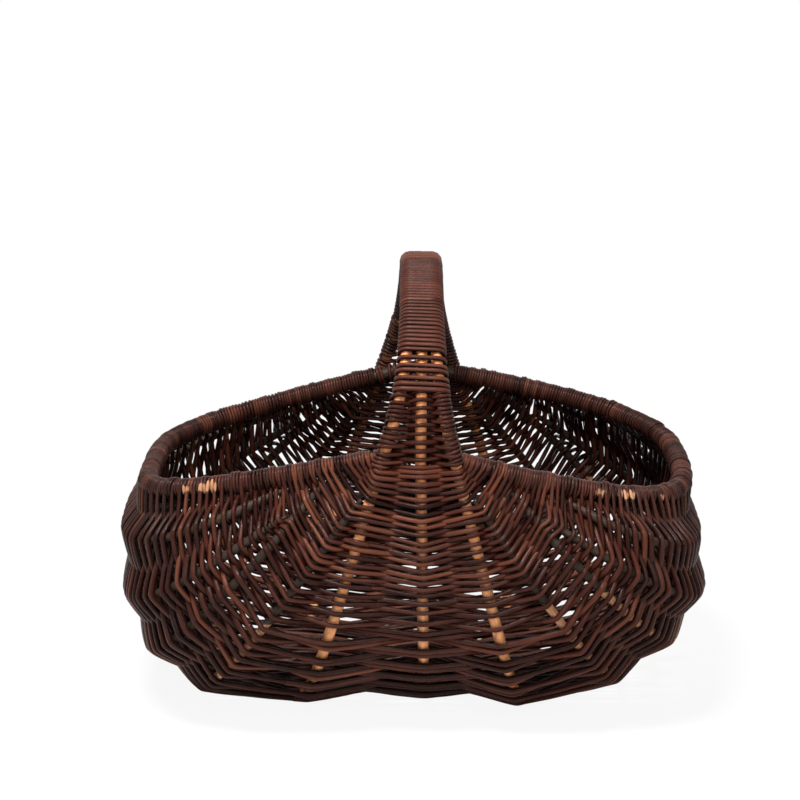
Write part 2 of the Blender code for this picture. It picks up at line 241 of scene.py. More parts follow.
barkLook = {
    "colours": [(0.0, (0.012, 0.0032, 0.0024)), (0.3, (0.030, 0.0080, 0.0054)),
                (0.55, (0.064, 0.0180, 0.0112)), (0.8, (0.115, 0.036, 0.0190)),
                (1.0, (0.190, 0.078, 0.036))],
    # noise: scale along the rod, scale round it, detail and roughness
    "streaks": (90.0, 2.2, 4.0, 0.65),
    "patches": (28.0, 0.5, 2.0, 0.5),
    "ridges": (160.0, 4.5, 3.0, 0.6),
    "cloudy": 0.6,  # how far the patches move the colour
    "darkStreaks": [(0.25, (0.62, 0.60, 0.60)), (0.6, (1.05, 1.05, 1.05))],
    "greyed": (0.042, 0.0205, 0.0160),
    "greyedAt": (0.35, 0.65),  # between these values of the streaks
    "paintedShade": 0.25,  # painted shade: how light the bark colour stays where rods lie side by side
    "paintedShadeAt": (0.40, 0.97),  # where the painted shade starts and where it is full: from the middle of a rod, 0, to its flank, 1
    "bare": [(0.25, (0.20, 0.075, 0.033)), (0.7, (0.46, 0.245, 0.135))],  # the wood under scraped bark
    "bareAt": (0.42, 0.58),  # bark up to the first value of a scrape, wood from the second
    "ragged": 1.2,  # how far the patches move the edge of the bare wood
    "roughness": (0.11, 0.28),  # without streaks, and how much they add
    "gloss": 0.08,
    "glossTint": (1.0, 0.80, 0.74),
    "bump": 0.4,
    "bumpDistance": 0.0006,
}


# Bark: a colour for each rod, streaks along it, cloudy patches, grey scuffs, fine ridges, painted shade
# where it lies against its neighbours, and bare wood where the tone says so (its third number over 1)
def barkMaterial(name, look):
    material, tree, shader = nodesOf(name)
    grain = attribute(tree, "grain")
    tone = partsOf(tree, attribute(tree, "tone"))
    streaks = grainNoise(tree, grain, *look["streaks"])
    patches = grainNoise(tree, grain, *look["patches"])
    cloud = mathNode(tree, "SUBTRACT", patches, 0.5)
    place = mathNode(tree, "ADD", tone[1], mathNode(tree, "MULTIPLY", cloud, look["cloudy"]))
    colour = ramp(tree, place, look["colours"])
    greyness = mathNode(tree, "MINIMUM", tone[2], 1.0)
    dull = mathNode(tree, "MULTIPLY", greyness, rising(tree, streaks, *look["greyedAt"]))
    colour = mixColour(tree, dull, colour, look["greyed"])
    colour = mixColour(tree, 1.0, colour, ramp(tree, streaks, look["darkStreaks"]), "MULTIPLY")
    # Painted shade: the colour darkens towards each rod's flanks, where it lies against its neighbours
    flank = mathNode(tree, "ABSOLUTE", partsOf(tree, grain)[1])
    middle, edge = look["paintedShadeAt"]
    paintedShade = ramp(tree, flank, [(middle, (1, 1, 1)), (edge, (look["paintedShade"],) * 3)])
    colour = mixColour(tree, 1.0, colour, paintedShade, "MULTIPLY")
    bare = mathNode(tree, "MAXIMUM", mathNode(tree, "SUBTRACT", tone[2], 1.0), 0.0)
    ragged = mathNode(tree, "ADD", bare, mathNode(tree, "MULTIPLY", cloud, look["ragged"]))
    bare = mathNode(tree, "MULTIPLY", rising(tree, ragged, *look["bareAt"]),
                    mathNode(tree, "GREATER_THAN", bare, 0.05))
    colour = mixColour(tree, bare, colour, ramp(tree, streaks, look["bare"]))
    tree.links.new(colour, shader.inputs["Base Color"])
    shader.inputs["Specular IOR Level"].default_value = look["gloss"]
    shader.inputs["Specular Tint"].default_value = (*look["glossTint"], 1.0)
    smooth, more = look["roughness"]
    rough = mathNode(tree, "ADD", smooth, mathNode(tree, "MULTIPLY", streaks, more))
    tree.links.new(rough, shader.inputs["Roughness"])
    ridges = grainNoise(tree, grain, *look["ridges"])
    bumped(tree, shader, ridges, look["bump"], look["bumpDistance"])
    return material


peeledLook = {
    "light": (0.68, 0.335, 0.160),
    "mid": (0.52, 0.190, 0.070),
    "lightLeg": (0.76, 0.335, 0.138),
    "midLeg": (0.60, 0.190, 0.058),
    "legHeight": (0.07, 0.20),  # the body's colours up to the first height, the legs' from the second
    "streaks": (25.0, 2.5, 4.0, 0.6),  # noise, as for the bark
    "streaksAt": (0.3, 0.7),
    "stains": (110.0, 0.9, 3.0, 0.55),
    "patches": (14.0, 0.3, 2.0, 0.5),
    "patchShare": 0.4,  # of the patches in the stains
    "stainAt": [(0.50, (0, 0, 0)), (0.66, (0.8, 0.8, 0.8))],
    "dark": (0.13, 0.038, 0.014),
    "roughness": 0.42,
    "gloss": 0.2,
    "bump": 0.25,
    "bumpDistance": 0.0005,
}


# Peeled willow: buff wood with long darker streaks, more orange on the legs, with brown stains
# between the rows and a faint grain
def peeledMaterial(name, look):
    material, tree, shader = nodesOf(name)
    grain = attribute(tree, "grain")
    streaks = grainNoise(tree, grain, *look["streaks"])
    stains = grainNoise(tree, grain, *look["stains"])
    patches = grainNoise(tree, grain, *look["patches"])
    height = partsOf(tree, tree.nodes.new("ShaderNodeTexCoord").outputs["Object"])[2]
    low, high = look["streaksAt"]
    body = ramp(tree, streaks, [(low, look["mid"]), (high, look["light"])])
    leg = ramp(tree, streaks, [(low, look["midLeg"]), (high, look["lightLeg"])])
    colour = mixColour(tree, rising(tree, height, *look["legHeight"]), body, leg)
    stained = mathNode(tree, "ADD", mathNode(tree, "MULTIPLY", stains, 1 - look["patchShare"]),
                       mathNode(tree, "MULTIPLY", patches, look["patchShare"]))
    colour = mixColour(tree, ramp(tree, stained, look["stainAt"]), colour, look["dark"])
    tree.links.new(colour, shader.inputs["Base Color"])
    shader.inputs["Roughness"].default_value = look["roughness"]
    shader.inputs["Specular IOR Level"].default_value = look["gloss"]
    bumped(tree, shader, streaks, look["bump"], look["bumpDistance"])
    return material


weaveBark = barkMaterial("weave_bark", barkLook)
# Painted shade between rods lying side by side: deeper on the binding, none on the ribs
bindingBark = barkMaterial("binding_bark", {
    **barkLook, "roughness": (0.22, 0.28), "gloss": 0.10, "bump": 0.2, "paintedShade": 0.12})
ribBark = barkMaterial("rib_bark", {
    **barkLook, "roughness": (0.30, 0.28), "gloss": 0.11, "paintedShade": 1.0,
    "greyed": (0.036, 0.027, 0.023),
    "colours": [(0.0, (0.011, 0.0065, 0.0052)), (0.5, (0.024, 0.015, 0.011)),
                (1.0, (0.050, 0.031, 0.021))]})
buffWillow = peeledMaterial("buff_willow", peeledLook)

# The frame's lines: rods, rim and ribs, each from the front to the back

rimShape = {"halfLength": 0.203, "halfWidth": 0.147, "fullness": {"right": 3.0, "left": 4.2},
            "height": 0.2114, "slope": 0.224, "crest": 0.0075, "twist": 0.0075, "radius": 0.0050}
rodShape = {"radius": 0.0041, "seat": 0.0009, "handleHeight": 0.323, "topShift": 0.0035,
            "spacing": 0.0086, "flare": 2.1, "halfWidth": 0.170, "lowHeight": 0.0081,
            # shares of the rim's half length: x at the rim in front and at the back, x under the body,
            # how much wider the back runs, then how full the round under the body is
            "left": (-0.123, -0.128, -0.424, -0.020, 3.1), "centre": (0.010, 0.017, 0.025, 0.0, 2.8),
            "right": (0.128, 0.148, 0.379, 0.044, 3.45)}
ribShape = {"radius": 0.0033, "tip": 0.0014, "tipGap": 0.0007, "taper": 0.030, "fullness": 2.9,
            "shoulder": 0.35,
            # lowest x and how much wider the back runs as shares of the rim's half length, lowest
            # height as a share of the rim's, half width as a share of the body's
            "right": [(0.754, 0.039, 0.105, 1.012), (0.951, 0.025, 0.252, 1.000),
                      (1.049, 0.0, 0.428, 0.959), (1.030, 0.0, 0.618, 0.918)],
            "left": [(-0.818, 0.0, 0.076, 1.012), (-0.995, 0.0, 0.214, 1.000),
                     (-1.069, 0.0, 0.418, 0.959), (-1.074, 0.0, 0.632, 0.918)],
            # how far along its parent a rib's tip lies, and on which side of it: end, out, up
            "roots": [(0.167, (1.0, 0.0, 0.0)), (0.202, (0.0, 0.45, -1.0)),
                      (0.433, (0.7, 0.0, 0.7)), (0.384, (0.0, 0.35, -1.0))],
            # the height under which these ribs are bare of bark
            "bareUnder": {"right_rib_1": 0.108, "right_rib_2": 0.116, "left_rib_1": 0.092},
            # the pipe of wraps round the rim, and the steps of a line in the solids
            "rimWrapRadius": 0.0077, "solidSteps": 40}
rodLook = {"sides": 16, "ribSides": 12, "rimSides": 12,
           "bareEdge": 0.004}  # the height over which a rib's bark ends
rodY = rimShape["halfWidth"] + rimShape["radius"] + rodShape["radius"] + rodShape["seat"]
archRise = rodShape["handleHeight"] - rimShape["height"]
steps = 400


# A ridge rounded over the crest, a straight fall to the end, and the twist
def rimHeight(x, y):
    fall = rimShape["slope"] * (np.hypot(x, rimShape["crest"]) - rimShape["crest"])
    twist = rimShape["twist"] * (x / rimShape["halfLength"]) * (y / rimShape["halfWidth"])
    return rimShape["height"] - fall + twist


# x of a rod at the rim, from the front crossing at angle 0 to the back one at pi
def crossingX(name, angle):
    front, back = rodShape[name][:2]
    return rimShape["halfLength"] * (front + (back - front) * (1 - np.cos(angle)) / 2)


# Half of the rim: x = length * cos(a) ** (2 / fullness), y = width * sin(a) ** (2 / fullness)
def rimLine(side, name):
    power = 2 / rimShape["fullness"][name]
    first, last = [math.acos((abs(crossingX(name, a)) / rimShape["halfLength"]) ** (1 / power))
                   for a in (0.0, math.pi)]
    angle = np.linspace(-first, last, 1200)
    x = side * rimShape["halfLength"] * np.cos(angle) ** power
    y = rimShape["halfWidth"] * np.sign(angle) * np.abs(np.sin(angle)) ** power
    return evenly(np.stack([x, y, rimHeight(x, y)], axis=1), steps + 1)


# A rod bent like a U in a leaning plane: a cosine swell over the shoulder, then a quarter of a
# superellipse to the lowest point. The back half is the same with its own root and bulge.
def bentLine(roots, lowX, lowZ, halfWidth, fullness, widerBack, count):
    halves = []
    for facing, root, wider in ((-1, roots[0], 0.0), (1, roots[1], widerBack)):
        reach = math.hypot(lowX - root[0], lowZ - root[2])
        shoulder = ribShape["shoulder"] * reach
        fall = np.linspace(0, shoulder, 300, endpoint=False)
        swell = (1 - np.cos(math.pi * fall / shoulder)) / 2
        turn = np.linspace(0, math.pi / 2, 600)
        below = shoulder + (reach - shoulder) * np.sin(turn) ** (2 / fullness)
        down = np.concatenate([fall, below]) / reach
        rootWidth = abs(root[1])
        out = np.concatenate([rootWidth + (halfWidth - rootWidth) * swell,
                              halfWidth * np.cos(turn) ** (2 / fullness)])
        x = root[0] + (lowX - root[0]) * down + wider * np.sin(math.pi * down)
        z = root[2] + (lowZ - root[2]) * down
        halves.append(np.stack([x, facing * out, z], axis=1))
    return evenly(np.concatenate([halves[0], halves[1][::-1][1:]]), count)


# Handle arch: half an ellipse over the rim, the outer rods flaring out towards it
def archPoint(name, angle):
    rise = np.sin(angle)
    centreX = crossingX("centre", angle)
    middle = centreX * (1 - rise) + rodShape["topShift"] * rise
    place = {"left": -1, "centre": 0, "right": 1}[name]
    atRim = np.abs(crossingX(name, angle) - centreX)
    offset = rodShape["spacing"] + (atRim - rodShape["spacing"]) * (1 - rise) ** rodShape["flare"]
    height = rimShape["height"] + archRise * rise
    return np.stack([middle + place * offset, -rodY * np.cos(angle), height], axis=-1)


def archAngle(height):  # the angle at which the arch has a height: asin(share of its rise)
    return math.asin((height - rimShape["height"]) / archRise)


lines = {}   # 401 points of each line from front to back
widths = {}  # the rod's radius at each of them
starts = {}  # the share of the line at which a rib begins
length = rimShape["halfLength"]
for name in ("left", "centre", "right"):
    lowX, widerBack, fullness = rodShape[name][2:]
    ends = [(crossingX(name, angle), y, rimShape["height"]) for angle, y in ((0.0, -rodY), (math.pi, rodY))]
    lines[name] = bentLine(ends, lowX * length, rodShape["lowHeight"], rodShape["halfWidth"],
                           fullness, widerBack * length, steps + 1)
    widths[name] = np.full(steps + 1, rodShape["radius"])
    starts[name] = 0.0


# A rib bent between two tips, which lie beside its parent line. Its radius grows from the tip's to
# its own by a quarter of a sine wave. Before and after the rib its line runs along the parent.
def addRib(side, name, number, parent):
    reach, (end, out, up) = ribShape["roots"][number]
    line = lines[parent]
    solidStep = max(1, round(reach * length / travelled(line)[-1] * ribShape["solidSteps"]))
    first = solidStep * steps // ribShape["solidSteps"]
    clear = ribShape["rimWrapRadius"] if parent.startswith("rim") else widths[parent][first]
    ahead = directions(line)
    ends = []
    for facing, pick in ((-1, first), (1, steps - first)):
        aside = np.array([side * end, facing * out, up])
        aside = unit(aside - ahead[pick] * np.dot(aside, ahead[pick]))
        ends.append(line[pick] + aside * (clear + ribShape["tip"] + ribShape["tipGap"]))
    lowX, widerBack, lowZ, halfWidth = ribShape[name][number]
    own = bentLine(ends, lowX * length, lowZ * rimShape["height"], halfWidth * rodShape["halfWidth"],
                   ribShape["fullness"], widerBack * length, steps - 2 * first + 1)
    far = travelled(own)
    grown = np.clip(np.minimum(far, far[-1] - far) / ribShape["taper"], 0, 1)
    radius = ribShape["tip"] + (ribShape["radius"] - ribShape["tip"]) * np.sin(grown * math.pi / 2)
    rib = f"{name}_rib_{number + 1}"
    lines[rib] = np.concatenate([line[:first], own, line[-first:]])
    widths[rib] = np.concatenate([widths[parent][:first], radius, widths[parent][-first:]])
    starts[rib] = first / steps


for side, name in ((1, "right"), (-1, "left")):
    rim = "rim_" + name
    lines[rim] = rimLine(side, name)
    widths[rim] = np.full(steps + 1, rimShape["radius"])
    starts[rim] = 0.0
    for number, parent in enumerate([name, rim, name + "_rib_2", rim]):
        addRib(side, name, number, parent)
lines = {name: line + shift for name, line in lines.items()}
middleOfBody = np.array([0.0, 0.0, rimShape["height"] / 2]) + shift


def outwardGuide(points):  # away from the middle of the body
    return unit(points - middleOfBody)


archAngles = np.linspace(math.pi, 0, 260)[1:-1]
for index, name in enumerate(("left", "centre", "right")):
    loop = np.concatenate([lines[name], archPoint(name, archAngles) + shift])
    guide = np.tile([1.0, 0.0, 0.0], (len(loop), 1))
    surface = rodSurface(loop, guide, rodShape["radius"], rodLook["sides"], closed=True)
    tone = (0.1 + 0.3 * index, 0.5, 0.0)
    piece = meshOf("long_rod_" + name, [surface], [tone], buffWillow)
    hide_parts("handle_rod_" + name)
for side in ("right", "left"):
    for number in (1, 2, 3, 4):
        rib = f"{side}_rib_{number}"
        first = round(starts[rib] * steps)
        path = lines[rib][first:steps - first + 1]
        radius = widths[rib][first:steps - first + 1]
        surface = rodSurface(path, outwardGuide(path), radius, rodLook["ribSides"])
        low = ribShape["bareUnder"].get(rib, -1.0)
        bare = np.clip((low - surface["points"][:, 2]) / rodLook["bareEdge"] + 0.5, 0, 1)
        tone = np.stack([0 * bare + 0.2 * number, 0 * bare + 0.3 + 0.1 * number, 0.3 + 1.7 * bare], axis=1)
        piece = meshOf(f"rib_{side}_{number}", [surface], [tone], ribBark)
        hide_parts(rib)

# The short runs of the rim between the outer rods, straight across, with the heights of their ends
across = np.linspace(-1, 1, 22)[1:-1]
bridges = []
for facing, end in ((-1, 0), (1, -1)):
    left, right = [lines["rim_" + side][end] - shift for side in ("left", "right")]
    x = np.interp(across, [-1, 1], [left[0], right[0]])
    y = np.interp(across, [-1, 0, 1], [left[1], facing * rimShape["halfWidth"], right[1]])
    z = (rimHeight(x, 0 * x) + (left[2] - rimHeight(left[0], 0.0)) * (1 - across) / 2
         + (right[2] - rimHeight(right[0], 0.0)) * (1 + across) / 2)
    bridges.append(np.stack([x, y, z], axis=1) + shift)
hoop = np.concatenate([lines["rim_right"], bridges[1][::-1], lines["rim_left"][::-1], bridges[0]])
guide = np.tile([0.0, 0.0, 1.0], (len(hoop), 1))
surface = rodSurface(hoop, guide, rimShape["radius"], rodLook["rimSides"], closed=True)
piece = meshOf("rim_rod", [surface], [(0.4, 0.5, 0.4)], ribBark)
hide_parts("rim_hoop")
print("frame of rods done")

# The weave: rows from rim to rim, over and under, turning round the rim

weave = {"lift": 0.00015,  # between a weaver and the rod it passes
         # rows from rim to rim, counted from the crossing to the middle of the base, and the
         # millimetres from the crossing at which they stand. They sag at the centre rod.
         "rowsAt": [0, 10, 22, 38, 42, 46, 50, 58, 62, 66, 92],
         "alongCentre": [8, 35.3, 66, 103.5, 118.5, 136.5, 150.5, 176.4, 193, 213, 325.3],
         "alongOuter": [8, 28.3, 56.5, 99, 115.5, 135, 149.5, 176, 192.5, 212.5, 325.3],
         "alongRim": [6, 29.6, 59.1, 93.6, 106.4, 121.8, 133.3, 155.5, 170, 187.7, 306],
         "pairsFrom": 44,  # from this row on two rows together pass each long rod on the same side
         # the radius of the weavers at a distance from the crossing, and at the rim
         "strandsAt": [0, 95, 112, 130, 155, 325.3],
         "strands": [0.00160, 0.00160, 0.00172, 0.00192, 0.00214, 0.00226],
         "rimStrand": 0.00130, "wrapPitch": 0.00265,
         "bend": 0.0034, "rounding": 0.2,  # how wide a bend over a rod is, how round a row runs
         "pointsPerSpan": 12, "pointsPerTurn": 14, "sides": 8,
         "spacing": 0.0015, "soften": 0.0010, "softenMarks": 4.0,  # metres, metres and points
         # how far rows stray, in rows: all along, at a crossing, slowly over a few rows, in a turn
         "rowWander": 0.15, "crossingWander": 0.17, "slowWander": 0.5, "slowRows": 3.0, "turnWander": 0.05,
         "loose": 0.0004, "loosest": 0.0012,  # how far turns stand off the rim: mostly, and at most
         "lumps": 0.07, "lumpPoints": 4.0, "lumpScale": 3.7,  # the scale undoes what softening takes
         "rowWidth": 1.14, "wrapWidth": 1.02, "wrapFlat": 0.04,  # against the radius
         "weaverLength": (0.28, 0.70), "overlap": 0.005,
         "butt": (1.00, 1.14), "thinning": (0.10, 0.24),  # against the radius, from butt to tip
         "greySpread": 0.25, "wrapGrey": 0.35, "tipDarker": 0.1,
         # places where the bark of the wraps is scraped off: millimetres along the rim, and reach
         "scrapes": {"rim_left": [(131, 3.5), (137, 3), (152, 2.5), (447, 4), (520, 3)],
                     "rim_right": [(120, 3), (142, 3.5), (149, 3.5), (182, 2.5), (402, 4), (486, 3)]},
         "scrapeOut": 0.006, "scrapeDepth": 0.7,
         "seed": 11}
order = (["rim_left"] + [f"left_rib_{n}" for n in (4, 3, 2, 1)] + ["left", "centre", "right"]
         + [f"right_rib_{n}" for n in (1, 2, 3, 4)] + ["rim_right"])
toRim = np.clip(np.abs(np.arange(len(order)) - 6) - 1, 0, 5) / 5  # 0 at the long rods, 1 at the rim
tangents = {name: directions(line) for name, line in lines.items()}


def strandRadius(share, rimward):  # by the distance from the crossing, and finer towards the rim
    far = 2 * weave["strandsAt"][-1] * np.minimum(share, 1 - share)
    own = np.interp(far, weave["strandsAt"], weave["strands"])
    return own + (weave["rimStrand"] - own) * rimward ** 5


# Which side of each rod a row passes: 1 outside, -1 inside. Ribs count in pairs, as they start. The
# long rods have a phase of their own, which takes rows two by two under the body.
def sidesOf(names, share, phase, rodPhase):
    near = min(share, 1 - share)
    place = {}
    for side in ("left", "right"):
        count = 1
        place[side] = count
        for pair in ((1, 2), (3, 4)):
            begun = near > max(starts[f"{side}_rib_{n}"] for n in pair)
            for n in pair:
                place[f"{side}_rib_{n}"] = count + (n - pair[0] + 1 if begun else 0)
            count += 2 if begun else 0
        place["rim_" + side] = count + 1
    place["centre"] = 0
    counted = np.array([place[name] + (rodPhase if name in rodShape else phase) for name in names])
    return 1.0 - 2 * (counted % 2)


# One row. In each span h = side * clearance, carried over to the next rod by the weight
# w = f(d1) / (f(d0) + f(d1)) with f(d) = hypot(d, bend) - bend: flat on the rods, straight between.
# The run between rods is the chord, drawn partly towards the cubic curve through the rods.
def rowPath(row):
    places = row["places"]
    ahead = row["ahead"]
    toRim = row["toRim"]
    across = np.concatenate([places[1:2] - places[:1], places[2:] - places[:-2],
                             places[-1:] - places[-2:-1]])
    normal = unit(np.cross(ahead, across))
    normal = normal * np.sign(dot(normal, places - middleOfBody))
    height = row["side"] * (row["clear"] + row["strand"] + weave["lift"])
    u = (1 - np.cos(np.linspace(0, math.pi, weave["pointsPerSpan"] + 1)[:-1])) / 2
    u = u[None, :, None]
    run = np.diff(places, axis=0)
    span = np.linalg.norm(run, axis=1)[:, None, None]
    bend = np.minimum(weave["bend"], span / 3)
    before = np.hypot(u * span, bend) - bend
    after = np.hypot((1 - u) * span, bend) - bend
    w = after / np.maximum(before + after, 1e-9)
    lift = height[:-1, None, None] * w + height[1:, None, None] * (1 - w)
    slope = unit(across)
    bulge = (u * (1 - u) ** 2 * (slope[:-1, None] * span - run[:, None])
             - u ** 2 * (1 - u) * (slope[1:, None] * span - run[:, None]))
    base = places[:-1, None] * (1 - u) + places[1:, None] * u + weave["rounding"] * bulge
    facing = unit(normal[:-1, None] * (1 - u) + normal[1:, None] * u)
    guide = ahead[:-1, None] * (1 - u) + ahead[1:, None] * u
    path = np.concatenate([(base + lift * facing).reshape(-1, 3), places[-1:] + height[-1] * normal[-1:]])
    guide = np.concatenate([guide.reshape(-1, 3), ahead[-1:]])
    near = (toRim[:-1, None] * (1 - u[..., 0]) + toRim[1:, None] * u[..., 0]).ravel()
    return path, guide, normal, np.append(near, toRim[-1])


# A turn round a rod: place + clearance * (cos(a) * normal + sin(a) * away)
def turnPath(line, fromShare, toShare, normal, away, clear, fromSide, turns):
    count = int(round(turns * weave["pointsPerTurn"]))
    part = np.linspace(0, 1, count + 1)[1:-1]
    angle = (0 if fromSide > 0 else math.pi) + fromSide * part * turns * math.tau
    share = fromShare + (toShare - fromShare) * part
    centre = at(line, share)
    ahead = at(directions(line), share)
    normal = unit(normal - dot(normal, ahead) * ahead)
    away = unit(away - dot(away, ahead) * ahead - dot(away, normal) * normal)
    ring = np.cos(angle)[:, None] * normal + np.sin(angle)[:, None] * away
    return centre + clear * ring, ahead


# Weighted means along columns with a bell curve of the given width in points
def softened(values, width):
    reach = int(math.ceil(width * 3))
    bell = np.exp(-0.5 * (np.arange(-reach, reach + 1) / width) ** 2)
    bell = bell / bell.sum()
    padded = np.concatenate([np.repeat(values[:1], reach, axis=0), values,
                             np.repeat(values[-1:], reach, axis=0)])
    return np.stack([np.convolve(column, bell, mode="valid") for column in padded.T], axis=1)


# A path with its guide and marks taken at even steps and softened, as a stiff rod would lie
def laid(path, guide, marks):
    far = travelled(path)
    fine = np.arange(0, far[-1], weave["spacing"] / 2)
    path, guide, marks = [np.stack([np.interp(fine, far, column) for column in part.T], axis=1)
                          for part in (path, guide, marks)]
    path = softened(path, weave["soften"] / (weave["spacing"] / 2))
    return path[::2], unit(guide[::2]), softened(marks, weave["softenMarks"])[::2]


# Rows that run to and fro: each row is turned round its last rod into the next row, as often as it
# says. The marks of a point are its row, how far it is part of a turn and how near the rim it is.
def snake(rows):
    paths = []
    guides = []
    marks = []
    previous = None
    beside = {0: 1, -1: -2}  # the places next to the first and the last
    for k, row in enumerate(rows):
        path, guide, normal, near = rowPath(row)
        start, end = (0, -1) if k % 2 == 0 else (-1, 0)
        if k % 2:
            path, guide, near = path[::-1], guide[::-1], near[::-1]
        places = row["places"]
        if previous is not None:
            line, share, side, facing, clear, outward = previous
            mine = places[start] - places[beside[start]]
            turn, ahead = turnPath(line, share, row["share"][start], unit(facing + normal[start]),
                                   unit(outward) + unit(mine), clear, side, rows[k - 1]["turns"])
            paths.append(turn)
            guides.append(ahead)
            marks.append(np.tile([k - 0.5, 1.0, near[0]], (len(turn), 1)))
        paths.append(path)
        guides.append(guide)
        marks.append(np.stack([np.full(len(path), float(k)), 0 * near, near], axis=1))
        clear = row["clear"][end] + row["strand"][end] + weave["lift"] + row["loose"]
        previous = (row["lines"][end], row["share"][end], row["side"][end], normal[end], clear,
                    places[end] - places[beside[end]])
    return laid(np.concatenate(paths), np.concatenate(guides), np.concatenate(marks))


# As many turns as fill twice the pitch of the rows with wraps, less a half, as a turn ends on the
# other side of the rim
def turnsAtRim(rimPitch):
    return max(1.5, round(2 * rimPitch / weave["wrapPitch"]) - 0.5)


# The first and last row of a turn stand apart so that all wraps stand evenly: their own pitch
# reaches turns / (turns + 0.5) of two rows
def offsetAtRim(turns):
    return turns / (turns + 0.5) - 0.5


# Row number to share of the line, in quarter rows: run on straight for 12 rows at both ends and
# softened over two
def shareTable(key):
    number = np.array(weave["rowsAt"], float)
    along = np.array(weave[key], float)
    fine = np.arange(-12, number[-1] + 12, 0.25)
    slope = np.diff(along) / np.diff(number)
    own = (np.interp(fine, number, along) + np.minimum(fine, 0) * slope[0]
           + np.maximum(fine - number[-1], 0) * slope[-1])
    return fine, softened(own[:, None], 8.0)[:, 0] / (2 * along[-1])


# The share of its line at which each row crosses each line. The back half mirrors the front. Ribs
# take a mean of rod and rim weighed by their place.
def rowShares():
    number = np.arange(weave["rowsAt"][-1]) + 0.5
    centre, outer, rim = [np.interp(number, *shareTable(key))[:, None]
                          for key in ("alongCentre", "alongOuter", "alongRim")]
    whole = outer * (1 - toRim) + rim * toRim
    whole[:, order.index("centre")] = centre[:, 0]
    return np.concatenate([whole, 1 - whole[::-1]])


# Each row crosses the lines that have begun at its place, at its share + pitch * a random stray.
# Where it leaves or enters a turn it stands so that the wraps of the rim are evenly spaced.
def bodyRows():
    rng = np.random.default_rng(weave["seed"])
    whole = rowShares()
    pitch = np.gradient(whole, axis=0)
    count = len(whole)
    rodShare = whole[:, order.index("left")]
    slow = softened(rng.normal(0, 1, (count, len(order))), weave["slowRows"]) * weave["slowWander"]
    rimLength = 2 * weave["alongRim"][-1] / 1000
    own = np.linspace(0, 1, steps + 1)
    rows = []
    for k in range(count):
        near = min(rodShare[k], 1 - rodShare[k])
        pick = [j for j, n in enumerate(order) if near > starts[n] or starts[n] == 0.0]
        names = [order[j] for j in pick]
        stray = rng.normal(0, weave["crossingWander"], len(names)) + rng.normal(0, weave["rowWander"])
        shares = whole[k, pick] + pitch[k, pick] * (stray + slow[k, pick])
        turns = turnsAtRim(pitch[k, 0] * rimLength)
        before = rows[-1]["turns"] if rows else turns
        entered, left = (0, -1) if k % 2 == 0 else (-1, 0)
        for end, wraps, way in ((left, turns, -1), (entered, before, 1)):
            offset = way * offsetAtRim(wraps) + rng.normal(0, weave["turnWander"])
            shares[end] = whole[k, end] + pitch[k, end] * offset
        rodPhase = k // 2 if min(k, count - 1 - k) >= weave["pairsFrom"] else k
        rows.append({
            "places": np.array([at(lines[n], s) for n, s in zip(names, shares)]),
            "ahead": unit(np.array([at(tangents[n], s) for n, s in zip(names, shares)])),
            "clear": np.array([np.interp(s, own, widths[n]) for n, s in zip(names, shares)]),
            "lines": [lines[n] for n in names], "share": shares, "toRim": toRim[pick],
            "side": sidesOf(names, rodShare[k], k, rodPhase),
            "strand": strandRadius(rodShare[k], toRim[pick]),
            "turns": turns, "loose": min(rng.exponential(weave["loose"]), weave["loosest"])})
    return rows, rodShare, whole


# The snake cut into weavers of a natural length, each tapering from its butt to its tip, flattened
# where it is wrapped round a rod. Their tone is a start for the grain, a colour and a greyness.
def weavers(path, guide, radius, turned, look, bare=0.0):
    rng = np.random.default_rng(look["seed"])
    far = travelled(path)
    bare = np.broadcast_to(bare, (len(path),))
    cuts = [0.0]
    while cuts[-1] < far[-1]:
        cuts.append(cuts[-1] + rng.uniform(*look["length"]))
    surfaces = []
    tones = []
    for first, last in zip(cuts[:-1], cuts[1:]):
        pick = np.flatnonzero((far >= first - weave["overlap"]) & (far <= last + weave["overlap"]))
        if len(pick) < 4:
            continue
        along = (far[pick] - first) / (last - first)
        taper = rng.uniform(*weave["butt"]) - rng.uniform(*weave["thinning"]) * along
        width = weave["rowWidth"] + (weave["wrapWidth"] - weave["rowWidth"]) * turned[pick]
        deep = radius[pick] * taper * (1 - weave["wrapFlat"] * turned[pick])
        wide = radius[pick] * taper * width
        line = path[pick]
        line[:, 2] = np.maximum(line[:, 2], np.maximum(deep, wide))
        surfaces.append(rodSurface(line, guide[pick], deep, weave["sides"], wide=wide))
        colour = np.clip(rng.normal(look["colour"], look["variety"]), 0, 1)
        grey = np.clip(rng.normal(look["grey"], weave["greySpread"]), 0, 1)
        dull = np.clip(grey + weave["wrapGrey"] * turned[pick], 0, 1)
        dull = np.where(bare[pick] > 0.2, 1 + bare[pick], dull)
        tone = np.stack([np.full(len(pick), rng.uniform(0, 1)), colour - weave["tipDarker"] * along,
                         dull], axis=1)
        tones.append(np.concatenate([np.repeat(tone, weave["sides"], axis=0), tone[:1], tone[-1:]]))
    return surfaces, tones


